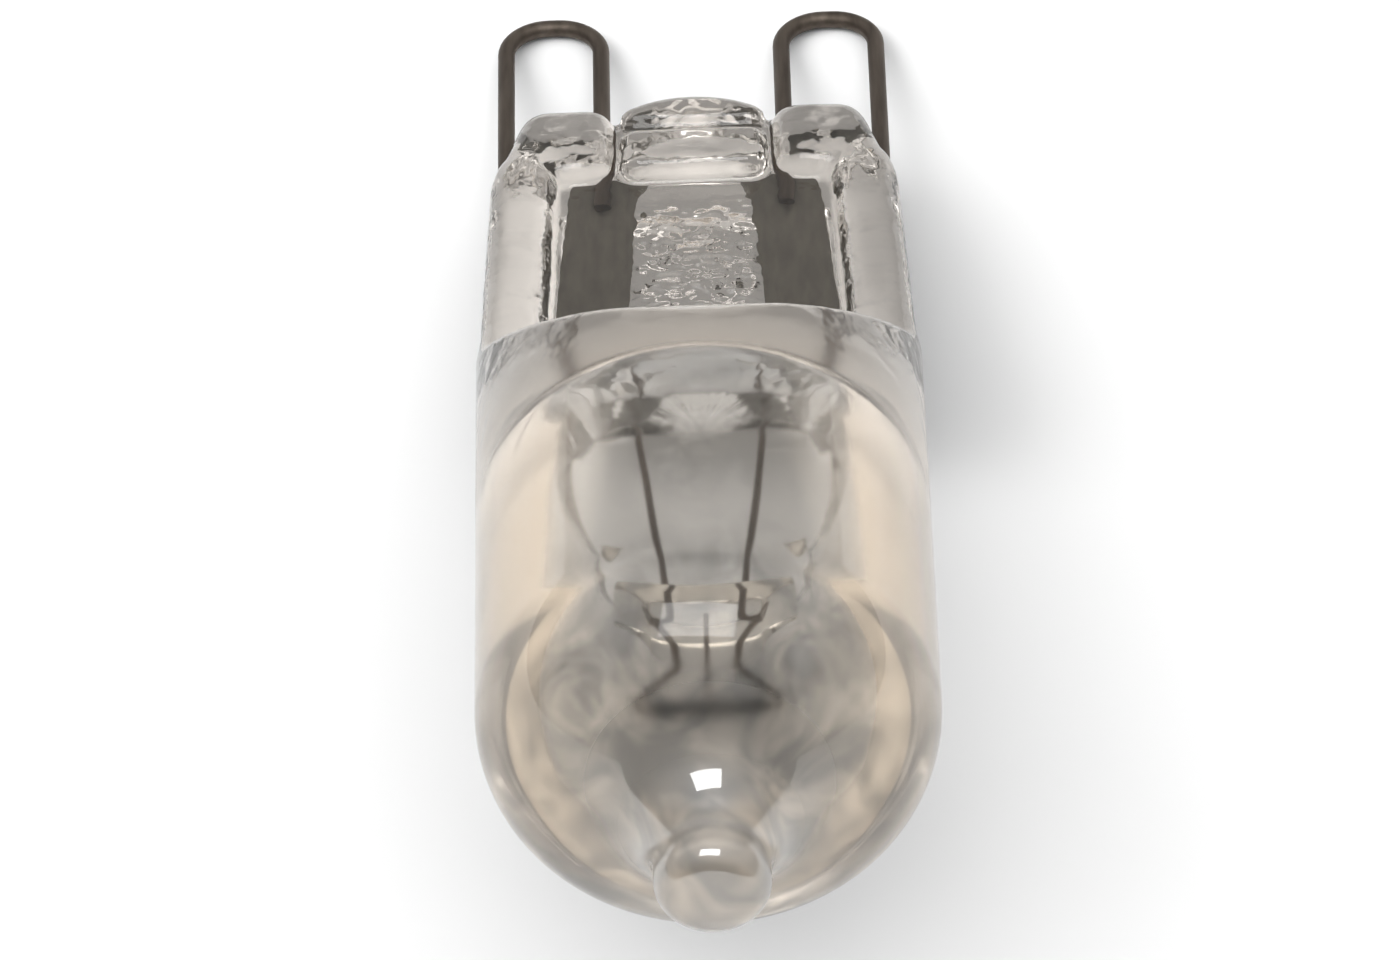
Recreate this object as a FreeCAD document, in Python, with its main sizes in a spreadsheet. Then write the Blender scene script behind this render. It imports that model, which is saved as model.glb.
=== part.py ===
"""Halogen capsule bulb with two wire contact loops.

The bulb lies with its axis along Y and its tip towards -Y, the flat faces of the pinch up and down.
The origin is on the axis at the end of the pinch. Each body is drawn upright, with the axis along its
own Z from the pinch end to the tip, X across the pinch and Y through its thickness, and is then laid down.
"""
import FreeCAD, Part
import math
import os
import Sketcher
from FreeCAD import Vector

NEAR = 1e-4

doc = FreeCAD.newDocument("halogen_capsule_bulb")

SIZES = [
    # capsule: outer form
    ("bulb_radius", 7.0),
    ("bulb_wall", 2.0),
    ("cylinder_end", 27.4),
    ("knuckle_radius", 4.4),
    ("crown_radius", 8.8),
    ("tip_radius", 1.75),
    ("tip_end", 35.6),
    ("tip_round", 0.8),
    ("tip_blend", 2.5),
    # capsule: cavity
    ("cavity_cylinder_end", 26.8),
    ("cavity_knuckle", 3.0),
    ("cavity_crown", 6.0),
    ("cavity_waist", 18.6),
    ("cavity_floor", 15.0),
    ("cavity_floor_half_width", 3.6),
    ("cavity_floor_half_gap", 0.6),
    ("pit_radius", 0.8),
    ("pit_end_radius", 0.3),
    ("pit_end", 32.6),
    # shoulder between pinch and capsule
    ("shoulder_foot", 11.6),
    ("shoulder_skirt", 0.6),
    ("shoulder_slope", 50.0),
    ("shoulder_round", 3.0),
    ("shoulder_crease", 0.2),
    ("shoulder_hollow", 1.2),
    # pinch: web and side rails
    ("web_half_thickness", 1.3),
    ("pinch_half_thickness", 2.1),
    ("rail_start", 2.9),
    ("rail_end", 12.8),
    ("rail_start_half_width", 6.5),
    ("rail_end_half_width", 6.9),
    ("rail_width", 1.65),
    ("pinch_corner", 0.5),
    ("pinch_round", 0.45),
    # pinch: base bar with cheeks and centre boss
    ("web_end", 0.2),
    ("cheek_inner", 2.5),
    ("cheek_end_outer", 5.4),
    ("cheek_foot_outer", 6.25),
    ("cheek_foot", 3.2),
    ("boss_half_width", 2.3),
    ("boss_corner", 0.35),
    ("boss_end", 0.4),
    ("boss_foot", 3.3),
    ("boss_groove_place", 1.15),
    ("boss_groove_radius", 0.4),
    # contact loops
    ("pin_pitch", 9.0),
    ("loop_leg_spacing", 3.1),
    ("loop_wire", 0.55),
    ("loop_reach", 6.94),
    ("loop_bend", 1.4),
    ("loop_weld_end", 3.7),
    ("loop_free_end", 1.7),
    ("notch_clearance", 0.12),
    # sealing foils
    ("foil_width", 2.5),
    ("foil_length", 8.6),
    ("foil_thickness", 0.03),
    ("foil_start", 2.0),
    ("foil_start_middle", 2.7),
    ("foil_splay", 5.5),
    ("foil_clearance", 0.04),
    # lead wires
    ("lead_wire", 0.25),
    ("lead_start", 9.3),
    ("lead_start_place", 2.62),
    ("lead_straight", 0.8),
    ("lead_waist_gap", 0.64),
    ("lead_waist_place", 0.9),
    ("lead_hook_place", 2.5),
    ("lead_bend", 0.3),
    ("lead_insert", 0.55),
    # bead
    ("bead_rim", 21.2),
    ("bead_rim_half_width", 3.1),
    ("bead_rim_edge", 0.6),
    ("bead_rim_radius", 6.4),
    ("bead_flank_radius", 2.6),
    ("bead_depth", 2.3),
    ("bead_sole_half_width", 1.75),
    ("bead_sole_radius", 2.4),
    ("bead_thickness", 1.8),
    # filament and its support
    ("filament_gap", 2.54),
    ("coil_length", 3.7),
    ("coil_bore", 0.31),
    ("coil_wire", 0.16),
    ("coil_pitch", 0.29),
    ("support_wire", 0.16),
    ("support_clearance", 0.03),
    ("support_seat", 0.9),
]

dim = doc.addObject("Spreadsheet::Sheet", "dim")
for row, (alias, value) in enumerate(SIZES, 1):
    dim.set("A%d" % row, alias)
    dim.set("B%d" % row, str(value))
    dim.setAlias("B%d" % row, alias)
doc.recompute()


def new_body(name):
    """A body that is drawn upright and laid down on the flat face of its pinch."""
    body = doc.addObject("PartDesign::Body", name)
    body.Placement = FreeCAD.Placement(Vector(0, 0, 0), FreeCAD.Rotation(Vector(1, 0, 0), 90))
    return body


def origin_plane(body, role):
    """One of the body's own origin planes."""
    return [feature for feature in body.Origin.OriginFeatures if feature.Role == role][0]


def new_sketch(body, name, role, offset="0"):
    """A sketch on an origin plane of its body, shifted along the plane's normal by an expression."""
    sketch = body.newObject("Sketcher::SketchObject", name)
    sketch.AttachmentSupport = (origin_plane(body, role), [""])
    sketch.MapMode = "FlatFace"
    if offset != "0":
        sketch.setExpression("AttachmentOffset.Base.z", offset)
    return sketch


def hold(sketch, constraint, expression):
    """Add a dimension to a sketch and bind it to an expression."""
    index = sketch.addConstraint(constraint)
    sketch.setExpression("Constraints[%d]" % index, expression)


def spot(sketch, across, along):
    """Where two expressions put a point of a sketch."""
    return Vector(float(sketch.evalExpression(across)), float(sketch.evalExpression(along)), 0)


def pin(sketch, geometry, end, across, along):
    """Hold one end of a line or arc at two expressions."""
    place = spot(sketch, across, along)
    for kind, expression, value, axis in (
        ("DistanceX", across, place.x, -2),
        ("DistanceY", along, place.y, -1),
    ):
        if expression == "0":
            sketch.addConstraint(Sketcher.Constraint("PointOnObject", geometry, end, axis))
        else:
            hold(sketch, Sketcher.Constraint(kind, geometry, end, value), expression)


def arc_between(here, there, radius, turn):
    """The shorter arc from one point to another; turn is 1 to the left and -1 to the right."""
    half = (there - here) * 0.5
    rise = math.sqrt(max(radius ** 2 - half.Length ** 2, 0.0))
    centre = here + half + Vector(-half.y, half.x, 0).normalize() * rise * turn
    first, last = (here, there) if turn > 0 else (there, here)
    start = math.atan2(first.y - centre.y, first.x - centre.x)
    stop = math.atan2(last.y - centre.y, last.x - centre.x)
    return Part.ArcOfCircle(Part.Circle(centre, Vector(0, 0, 1), radius), start, stop)


def outline(sketch, corners):
    """A closed outline. A corner is (across, along), or (across, along, radius, turn) if an arc leaves it."""
    spots = [spot(sketch, corner[0], corner[1]) for corner in corners]
    base = sketch.GeometryCount
    ends = []
    for index, corner in enumerate(corners):
        here, there = spots[index], spots[(index + 1) % len(spots)]
        if len(corner) == 2:
            sketch.addGeometry(Part.LineSegment(here, there))
            ends.append((1, 2))
        else:
            radius = float(sketch.evalExpression(corner[2]))
            sketch.addGeometry(arc_between(here, there, radius, corner[3]))
            ends.append((1, 2) if corner[3] > 0 else (2, 1))
    for index, corner in enumerate(corners):
        after = (index + 1) % len(corners)
        joint = Sketcher.Constraint("Coincident", base + index, ends[index][1], base + after, ends[after][0])
        sketch.addConstraint(joint)
    for index, corner in enumerate(corners):
        pin(sketch, base + index, ends[index][0], corner[0], corner[1])
        if len(corner) == 4:
            radius = float(sketch.evalExpression(corner[2]))
            hold(sketch, Sketcher.Constraint("Radius", base + index, radius), corner[2])


def circle(sketch, across, along, radius):
    """A circle whose centre and radius are expressions."""
    centre = spot(sketch, across, along)
    size = float(sketch.evalExpression(radius))
    index = sketch.addGeometry(Part.Circle(centre, Vector(0, 0, 1), size))
    pin(sketch, index, 3, across, along)
    hold(sketch, Sketcher.Constraint("Radius", index, size), radius)


def wire_path(sketch, corners, bend):
    """An open path of straight runs with tangent bends, through corners given as expressions."""
    spots = [spot(sketch, *corner) for corner in corners]
    radius = float(sketch.evalExpression(bend))
    runs = []
    bends = []
    start = spots[0]
    for index in range(1, len(spots)):
        stop = spots[index]
        if index < len(spots) - 1:
            back = (spots[index - 1] - stop).normalize()
            onward = (spots[index + 1] - stop).normalize()
            reach = radius / math.tan(back.getAngle(onward) / 2)
            leave = stop + back * reach
            enter = stop + onward * reach
            turn = 1 if back.cross(onward).z < 0 else -1
        else:
            leave = stop
        runs.append(sketch.addGeometry(Part.LineSegment(start, leave)))
        if index < len(spots) - 1:
            arc = sketch.addGeometry(arc_between(leave, enter, radius, turn))
            mark = sketch.addGeometry(Part.Point(stop), True)
            bends.append((arc, (1, 2) if turn > 0 else (2, 1), mark, corners[index]))
            start = enter
    pin(sketch, runs[0], 1, *corners[0])
    pin(sketch, runs[-1], 2, *corners[-1])
    for index, (arc, ends, mark, corner) in enumerate(bends):
        sketch.addConstraint(Sketcher.Constraint("Tangent", runs[index], 2, arc, ends[0]))
        sketch.addConstraint(Sketcher.Constraint("Tangent", arc, ends[1], runs[index + 1], 1))
        pin(sketch, mark, 1, *corner)
        sketch.addConstraint(Sketcher.Constraint("PointOnObject", mark, 1, runs[index]))
        sketch.addConstraint(Sketcher.Constraint("PointOnObject", mark, 1, runs[index + 1]))
        hold(sketch, Sketcher.Constraint("Radius", arc, radius), bend)


def slab(body, kind, name, sketch, length):
    """A pad or pocket to both sides of its sketch, with its whole length as an expression."""
    feature = body.newObject("PartDesign::" + kind, name)
    feature.Profile = sketch
    feature.SideType = "Symmetric"
    feature.setExpression("Length", length)
    doc.recompute()
    return feature


def mirror(body, name, feature):
    """The same feature on the other side of the bulb's middle."""
    copy = body.newObject("PartDesign::Mirrored", name)
    copy.Originals = [feature]
    copy.MirrorPlane = (origin_plane(body, "YZ_Plane"), [""])
    body.Tip = copy
    doc.recompute()
    return copy


def turned(body, kind, name, sketch):
    """A revolution or groove about the bulb's axis."""
    feature = body.newObject("PartDesign::" + kind, name)
    feature.Profile = sketch
    feature.ReferenceAxis = (sketch, ["V_Axis"])
    feature.Angle = 360
    doc.recompute()
    return feature


def fillet(body, name, base, edges, radius):
    """Round the chosen edges of a feature."""
    feature = body.newObject("PartDesign::Fillet", name)
    feature.Base = (base, edges)
    feature.setExpression("Radius", radius)
    doc.recompute()
    return feature


def edges_where(shape, test):
    """Names of the edges whose two ends and middle all pass a test."""
    names = []
    for index, edge in enumerate(shape.Edges, 1):
        middle = edge.valueAt((edge.FirstParameter + edge.LastParameter) / 2)
        if all(test(point) for point in [middle] + [vertex.Point for vertex in edge.Vertexes]):
            names.append("Edge%d" % index)
    return names


def on_flat(point):
    """Whether a point is on the upper or lower flat face of the pinch."""
    return abs(abs(point.y) - dim.pinch_half_thickness) < NEAR


def swept(body, name, profile, spine):
    """A wire: its round section carried along its path."""
    feature = body.newObject("PartDesign::AdditivePipe", name)
    feature.Profile = profile
    feature.Spine = (spine, [])
    doc.recompute()
    return feature


def crown_middle(radius, knuckle, crown, cylinder_end):
    """Where on the axis the crown of a domed end has its centre."""
    return "(%s - sqrt((%s - %s)^2 - (%s - %s)^2))" % (cylinder_end, crown, knuckle, radius, knuckle)


def dome(radius, knuckle, crown, cylinder_end, foot):
    """Corners of a domed end, from the cylinder over knuckle and crown to a foot on the crown."""
    middle = crown_middle(radius, knuckle, crown, cylinder_end)
    share = "%s / (%s - %s)" % (crown, crown, knuckle)
    meeting = "(%s - %s) * %s" % (radius, knuckle, share)
    meeting_place = "%s + (%s - %s) * %s" % (middle, cylinder_end, middle, share)
    return [
        (radius, cylinder_end, knuckle, 1),
        (meeting, meeting_place, crown, 1),
        (foot, "%s + sqrt(%s^2 - (%s)^2)" % (middle, crown, foot)),
    ]


# envelope: capsule, dome and blunt tip in one turned blank
capsule = new_body("capsule")
capsule_line = new_sketch(capsule, "capsule_line", "XZ_Plane")
OUTER = ("dim.bulb_radius", "dim.knuckle_radius", "dim.crown_radius", "dim.cylinder_end")
SKIRT = "dim.shoulder_foot - dim.shoulder_skirt"
TIP_FOOT = "dim.crown_radius * (dim.tip_radius + dim.tip_blend) / (dim.crown_radius + dim.tip_blend)"
TIP_SIDE = "%s + sqrt((dim.crown_radius + dim.tip_blend)^2 - (dim.tip_radius + dim.tip_blend)^2)"
cap = dome(*OUTER, TIP_FOOT)
outline(
    capsule_line,
    [
        ("0", SKIRT),
        ("dim.bulb_radius", SKIRT),
        cap[0],
        cap[1],
        cap[2] + ("dim.tip_blend", -1),
        ("dim.tip_radius", TIP_SIDE % crown_middle(*OUTER)),
        ("dim.tip_radius", "dim.tip_end - dim.tip_round", "dim.tip_round", 1),
        ("dim.tip_radius - dim.tip_round", "dim.tip_end"),
        ("0", "dim.tip_end"),
    ],
)
turned(capsule, "Revolution", "capsule_form", capsule_line)

# envelope: the two jaws of the press leave a slope from the web up to the capsule, hollow at its foot
slope_line = new_sketch(capsule, "slope_line", "YZ_Plane")
FOOT_RUN = "dim.shoulder_hollow * tan(dim.shoulder_slope / 2)"
CREST_TOP = "(dim.bulb_radius + dim.shoulder_crease)"
CREST = "(%s - dim.shoulder_round * (1 - cos(dim.shoulder_slope)))" % CREST_TOP
CREST_PLACE = "dim.shoulder_foot + (%s - dim.web_half_thickness) / tan(dim.shoulder_slope)" % CREST
CREST_END = CREST_PLACE + " + dim.shoulder_round * sin(dim.shoulder_slope)"
for sign, turn in (("", 1), ("-", -1)):
    outline(
        slope_line,
        [
            (sign + "dim.web_half_thickness", "dim.shoulder_foot - " + FOOT_RUN, "dim.shoulder_hollow", -turn),
            (
                "%s(dim.web_half_thickness + %s * sin(dim.shoulder_slope))" % (sign, FOOT_RUN),
                "dim.shoulder_foot + %s * cos(dim.shoulder_slope)" % FOOT_RUN,
            ),
            (sign + CREST, CREST_PLACE, "dim.shoulder_round", turn),
            (sign + CREST_TOP, CREST_END),
            (sign + "2 * dim.bulb_radius", CREST_END),
            (sign + "2 * dim.bulb_radius", "dim.rail_start"),
            (sign + "dim.web_half_thickness", "dim.rail_start"),
        ],
    )
slab(capsule, "Pocket", "shoulder_slopes", slope_line, "4 * dim.bulb_radius")

# envelope: flat pinch, with a cheek and a thick rail down each side and the centre boss between them
pinch = new_body("pinch")
web_line = new_sketch(pinch, "web_line", "XZ_Plane")
web_right = [
    ("dim.cheek_end_outer", "dim.web_end"),
    ("dim.cheek_foot_outer", "dim.rail_start"),
    ("dim.rail_start_half_width", "dim.rail_start"),
    ("dim.rail_end_half_width", "dim.rail_end"),
]
outline(web_line, web_right + [("-" + across, along) for across, along in reversed(web_right)])
slab(pinch, "Pad", "web", web_line, "2 * dim.web_half_thickness")
rail_line = new_sketch(pinch, "rail_line", "XZ_Plane")
outline(
    rail_line,
    [
        ("dim.cheek_inner", "0"),
        ("dim.cheek_end_outer", "0"),
        ("dim.cheek_foot_outer", "dim.rail_start"),
        ("dim.rail_start_half_width", "dim.rail_start"),
        ("dim.rail_end_half_width", "dim.rail_end"),
        ("dim.rail_end_half_width - dim.rail_width", "dim.rail_end"),
        ("dim.rail_start_half_width - dim.rail_width", "dim.cheek_foot"),
        ("dim.cheek_inner", "dim.cheek_foot"),
    ],
)
rail = slab(pinch, "Pad", "right_rail", rail_line, "2 * dim.pinch_half_thickness")
rails = mirror(pinch, "left_rail", rail)
brim = edges_where(rails.Shape, on_flat)
buried = edges_where(rails.Shape, lambda p: abs(p.z - dim.rail_end) < NEAR)
fillet(pinch, "soft_brim", rails, sorted(set(brim) - set(buried)), "dim.pinch_round")

# envelope: centre boss that stands out between the cheeks, with a groove across each face
boss = new_body("boss")
boss_line = new_sketch(boss, "boss_line", "XZ_Plane")
BOSS_RISE = "(dim.boss_end + dim.boss_corner)"
BOSS_ROUND = "(dim.boss_half_width^2 + %s^2) / (2 * %s)" % (BOSS_RISE, BOSS_RISE)
outline(
    boss_line,
    [
        ("-dim.boss_half_width", "dim.boss_corner", BOSS_ROUND, 1),
        ("dim.boss_half_width", "dim.boss_corner"),
        ("dim.boss_half_width", "dim.boss_foot"),
        ("-dim.boss_half_width", "dim.boss_foot"),
    ],
)
block = slab(boss, "Pad", "boss_block", boss_line, "2 * dim.pinch_half_thickness")
upright = edges_where(block.Shape, lambda p: abs(abs(p.x) - dim.boss_half_width) < NEAR)
upright = [name for name in upright if name not in edges_where(block.Shape, on_flat)]
rounded = fillet(boss, "boss_corners", block, upright, "dim.pinch_corner")
fillet(boss, "boss_brim", rounded, edges_where(rounded.Shape, on_flat), "dim.pinch_round")
groove_line = new_sketch(boss, "groove_line", "YZ_Plane")
for sign in ("", "-"):
    circle(groove_line, sign + "dim.pinch_half_thickness", "dim.boss_groove_place", "dim.boss_groove_radius")
slab(boss, "Pocket", "boss_grooves", groove_line, "2 * (dim.boss_half_width - dim.pinch_corner)")

# envelope: notches beside the cheeks for the loops' free ends
FOIL_DEPTH = "dim.loop_wire / 2 + dim.foil_thickness / 2"
LEAD_DEPTH = "(dim.loop_wire / 2 - dim.lead_wire / 2)"
LEG_INNER = "(dim.pin_pitch / 2 - dim.loop_leg_spacing / 2)"
LEG_OUTER = "(dim.pin_pitch / 2 + dim.loop_leg_spacing / 2)"


def foil_corners(sign, clearance):
    """Corners of a foil that leans outwards along the pinch, grown on all sides by a clearance."""
    corners = []
    for along, side in (("-", "+"), ("-", "-"), ("dim.foil_length +", "-"), ("dim.foil_length +", "+")):
        run = "(%s %s)" % (along, clearance)
        reach = "(%s (dim.foil_width / 2 + %s))" % (side, clearance)
        across = "%s(dim.foil_start_middle + %s * sin(dim.foil_splay) + %s * cos(dim.foil_splay))"
        place = "dim.foil_start + %s * cos(dim.foil_splay) - %s * sin(dim.foil_splay)"
        corners.append((across % (sign, run, reach), place % (run, reach)))
    return corners


notch_line = new_sketch(pinch, "notch_line", "XY_Plane")
for sign in ("", "-"):
    circle(notch_line, sign + LEG_OUTER, "0", "dim.loop_wire / 2 + dim.notch_clearance")
notches = pinch.newObject("PartDesign::Pocket", "notches")
notches.Profile = notch_line
notches.Reversed = True
notches.setExpression("Length", "dim.loop_free_end + dim.notch_clearance")
doc.recompute()

# envelope: sealed cavity, round in the capsule and flattened towards the pinch
INNER = "(dim.bulb_radius - dim.bulb_wall)"
cavity = new_body("cavity")
cavity_line = new_sketch(cavity, "cavity_line", "XZ_Plane")
outline(
    cavity_line,
    [("0", "dim.cavity_waist"), (INNER, "dim.cavity_waist")]
    + dome(INNER, "dim.cavity_knuckle", "dim.cavity_crown", "dim.cavity_cylinder_end", "dim.pit_radius")
    + [("dim.pit_end_radius", "dim.pit_end"), ("0", "dim.pit_end")],
)
turned(cavity, "Revolution", "cavity_form", cavity_line)
waist = new_sketch(cavity, "cavity_waist_section", "XY_Plane", "dim.cavity_waist")
circle(waist, "0", "0", INNER)
floor = new_sketch(cavity, "cavity_floor_section", "XY_Plane", "dim.cavity_floor")
floor.addGeometry(
    Part.Ellipse(
        Vector(dim.cavity_floor_half_width, 0, 0), Vector(0, dim.cavity_floor_half_gap, 0), Vector(0, 0, 0)
    )
)
floor.exposeInternalGeometry(0)
floor.addConstraint(Sketcher.Constraint("Coincident", 0, 3, -1, 1))
floor.addConstraint(Sketcher.Constraint("PointOnObject", 1, 1, -1))
for axis, half in ((1, "cavity_floor_half_width"), (2, "cavity_floor_half_gap")):
    hold(floor, Sketcher.Constraint("Distance", axis, 2 * getattr(dim, half)), "2 * dim." + half)
taper = cavity.newObject("PartDesign::AdditiveLoft", "cavity_taper")
taper.Profile = waist
taper.Sections = [floor]
doc.recompute()

# places along the axis that follow the bead: its sole, the end of the sole and the coil
SOLE = "(dim.bead_rim + dim.bead_depth)"
SOLE_RISE = "dim.bead_sole_radius - sqrt(dim.bead_sole_radius^2 - dim.bead_sole_half_width^2)"
SOLE_END = "(%s + %s)" % (SOLE, SOLE_RISE)
FILAMENT = "(%s + dim.filament_gap)" % SOLE_END

# contact loops, foils and lead wires, one of each to the left and to the right
nodes = []
sealed = []
leads = []
for side, sign in (("left", "-"), ("right", "")):
    loop = new_body("contact_loop_" + side)
    loop_path = new_sketch(loop, "loop_path_" + side, "XZ_Plane")
    crest = "dim.loop_wire / 2 - dim.loop_reach"
    wire_path(
        loop_path,
        [
            (sign + LEG_INNER, "dim.loop_weld_end"),
            (sign + LEG_INNER, crest),
            (sign + LEG_OUTER, crest),
            (sign + LEG_OUTER, "dim.loop_free_end"),
        ],
        "dim.loop_bend",
    )
    loop_section = new_sketch(loop, "loop_section_" + side, "XY_Plane", "dim.loop_weld_end")
    circle(loop_section, sign + LEG_INNER, "0", "dim.loop_wire / 2")
    swept(loop, "loop_wire_" + side, loop_section, loop_path)

    foil = new_body("foil_" + side)
    foil_line = new_sketch(foil, "foil_line_" + side, "XZ_Plane", FOIL_DEPTH)
    outline(foil_line, foil_corners(sign, "0"))
    slab(foil, "Pad", "foil_sheet_" + side, foil_line, "dim.foil_thickness")
    room = new_body("foil_room_" + side)
    room_line = new_sketch(room, "room_line_" + side, "XZ_Plane", FOIL_DEPTH)
    outline(room_line, foil_corners(sign, "dim.foil_clearance"))
    slab(room, "Pad", "room_" + side, room_line, "dim.foil_thickness + 2 * dim.foil_clearance")

    lead = new_body("lead_wire_" + side)
    lead_path = new_sketch(lead, "lead_path_" + side, "XZ_Plane", LEAD_DEPTH)
    wire_path(
        lead_path,
        [
            (sign + "dim.lead_start_place", "dim.lead_start"),
            (sign + "dim.lead_start_place", "dim.lead_start + dim.lead_straight"),
            (sign + "dim.lead_waist_place", SOLE_END + " + dim.lead_waist_gap"),
            (sign + "dim.lead_hook_place", FILAMENT),
            (sign + "(dim.coil_length / 2 - dim.lead_insert)", FILAMENT),
        ],
        "dim.lead_bend",
    )
    lead_section = new_sketch(lead, "lead_section_" + side, "XY_Plane", "dim.lead_start")
    circle(lead_section, sign + "dim.lead_start_place", "-" + LEAD_DEPTH, "dim.lead_wire / 2")
    swept(lead, "lead_" + side, lead_section, lead_path)

    nodes += [loop, foil, lead]
    sealed += [loop, room, lead]
    leads.append(lead)

# filament: a straight coil across the axis, its bore over the ends of the lead wires
filament = new_body("filament")
filament.setExpression("Placement.Base.x", "-dim.coil_length / 2")
filament.setExpression("Placement.Base.y", "-" + FILAMENT)
filament.setExpression("Placement.Base.z", "-" + LEAD_DEPTH)
turn_line = new_sketch(filament, "turn_line", "XZ_Plane")
outline(
    turn_line,
    [
        ("0", "dim.coil_bore / 2"),
        ("dim.coil_wire", "dim.coil_bore / 2"),
        ("dim.coil_wire", "dim.coil_bore / 2 + dim.coil_wire"),
        ("0", "dim.coil_bore / 2 + dim.coil_wire"),
    ],
)
coil = filament.newObject("PartDesign::AdditiveHelix", "coil")
coil.Profile = turn_line
coil.ReferenceAxis = (turn_line, ["H_Axis"])
coil.Mode = "pitch-height-angle"
coil.setExpression("Pitch", "dim.coil_pitch")
coil.setExpression("Height", "dim.coil_length - dim.coil_wire")
doc.recompute()

# support: a wire from the bead that hooks round the middle of the coil
support = new_body("support_wire")
HOOK = "(dim.coil_bore / 2 + dim.coil_wire + dim.support_clearance + dim.support_wire / 2)"
SEAT = SOLE_END + " - dim.support_seat"
hook_path = new_sketch(support, "hook_path", "YZ_Plane")
stem_top = spot(hook_path, HOOK + " - " + LEAD_DEPTH, SEAT)
hook_middle = spot(hook_path, "-" + LEAD_DEPTH, FILAMENT)
hook_size = stem_top.x - hook_middle.x
stem = hook_path.addGeometry(Part.LineSegment(stem_top, Vector(stem_top.x, hook_middle.y, 0)))
bow = hook_path.addGeometry(
    Part.ArcOfCircle(Part.Circle(hook_middle, Vector(0, 0, 1), hook_size), 0, math.pi)
)
pin(hook_path, stem, 1, HOOK + " - " + LEAD_DEPTH, SEAT)
pin(hook_path, bow, 3, "-" + LEAD_DEPTH, FILAMENT)
hook_path.addConstraint(Sketcher.Constraint("Tangent", stem, 2, bow, 1))
hook_path.addConstraint(Sketcher.Constraint("Vertical", stem))
hook_path.addConstraint(Sketcher.Constraint("Horizontal", bow, 3, bow, 2))
hook_section = new_sketch(support, "hook_section", "XY_Plane", SEAT)
circle(hook_section, "0", HOOK + " - " + LEAD_DEPTH, "dim.support_wire / 2")
swept(support, "hook", hook_section, hook_path)

# bead: a clear bridge pressed round both leads and the foot of the support
bead_blank = new_body("bead_blank")
bead_line = new_sketch(bead_blank, "bead_line", "XZ_Plane", LEAD_DEPTH)
RIM_EDGE = "dim.bead_rim + dim.bead_rim_edge"
outline(
    bead_line,
    [
        ("-dim.bead_rim_half_width", "dim.bead_rim", "dim.bead_rim_radius", -1),
        ("dim.bead_rim_half_width", "dim.bead_rim"),
        ("dim.bead_rim_half_width", RIM_EDGE, "dim.bead_flank_radius", -1),
        ("dim.bead_sole_half_width", SOLE, "dim.bead_sole_radius", 1),
        ("-dim.bead_sole_half_width", SOLE, "dim.bead_flank_radius", -1),
        ("-dim.bead_rim_half_width", RIM_EDGE),
    ],
)
slab(bead_blank, "Pad", "plate", bead_line, "dim.bead_thickness")

bead_wires = doc.addObject("Part::MultiFuse", "bead_wires")
bead_wires.Shapes = leads + [support]
bead = doc.addObject("Part::Cut", "bead")
bead.Base = bead_blank
bead.Tool = bead_wires
glass = doc.addObject("Part::MultiFuse", "glass")
glass.Shapes = [capsule, pinch, boss]
hollow = doc.addObject("Part::MultiFuse", "hollow")
hollow.Shapes = [cavity] + sealed
envelope = doc.addObject("Part::Cut", "glass_envelope")
envelope.Base = glass
envelope.Tool = hollow
doc.recompute()

nodes += [filament, support, bead, envelope]
for thing in doc.Objects:
    if "Invalid" in thing.State or "Error" in thing.State:
        raise RuntimeError("%s did not build" % thing.Label)
os.makedirs("parts", exist_ok=True)
for node in nodes:
    shape = node.Shape
    print(node.Label, "volume", round(shape.Volume, 3), "faces", len(shape.Faces))
    if shape.isNull() or not shape.isValid() or len(shape.Solids) != 1:
        raise RuntimeError("%s is not one valid solid" % node.Label)
    shape.exportStep("parts/%s.step" % node.Label)
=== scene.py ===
# %% [markdown]
# # A clear halogen capsule bulb
#
# The bulb is a thick tube of quartz glass. One end is drawn to a blunt tip, and the other is pressed
# flat while hot. Two foils, two lead wires, a small clear bridge and a coil are sealed in it, and two
# wire loops stand out of the flat end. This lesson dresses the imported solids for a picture. The wires
# and foils stay as they are and only get their metals. The glass, the bridge and the coil are modelled
# again, because melted glass has no sharp edge and a coil is wound from round wire.

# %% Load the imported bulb
import math

import bmesh
import bpy
from mathutils import Matrix, Vector


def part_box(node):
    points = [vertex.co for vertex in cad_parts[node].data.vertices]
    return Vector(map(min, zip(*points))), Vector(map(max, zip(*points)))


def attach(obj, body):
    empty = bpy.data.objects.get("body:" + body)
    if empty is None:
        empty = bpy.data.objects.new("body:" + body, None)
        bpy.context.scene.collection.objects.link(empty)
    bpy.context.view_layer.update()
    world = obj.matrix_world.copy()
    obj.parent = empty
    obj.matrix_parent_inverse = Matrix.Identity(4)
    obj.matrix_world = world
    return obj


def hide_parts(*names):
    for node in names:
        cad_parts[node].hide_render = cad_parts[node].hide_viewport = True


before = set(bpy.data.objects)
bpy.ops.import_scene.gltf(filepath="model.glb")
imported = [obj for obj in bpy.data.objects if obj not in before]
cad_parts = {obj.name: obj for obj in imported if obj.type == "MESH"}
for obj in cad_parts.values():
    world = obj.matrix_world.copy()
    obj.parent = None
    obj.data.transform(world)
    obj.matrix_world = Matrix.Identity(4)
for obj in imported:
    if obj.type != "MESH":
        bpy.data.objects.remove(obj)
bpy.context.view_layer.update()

# %% [markdown]
# ## From the drawing to the scene
#
# A bulb is drawn in millimetres, with its sizes taken from the pinch end. Blender works in metres and has
# its own axes. Every place could be written in metres, but such numbers are hard to read, so `spot` turns
# a place on the drawing into a point of the scene: across the pinch, along the axis towards the tip, and
# up. `reach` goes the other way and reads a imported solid's outer sizes, which the dressed bulb keeps.

# %% Places on the drawing
MM = 0.001


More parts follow.
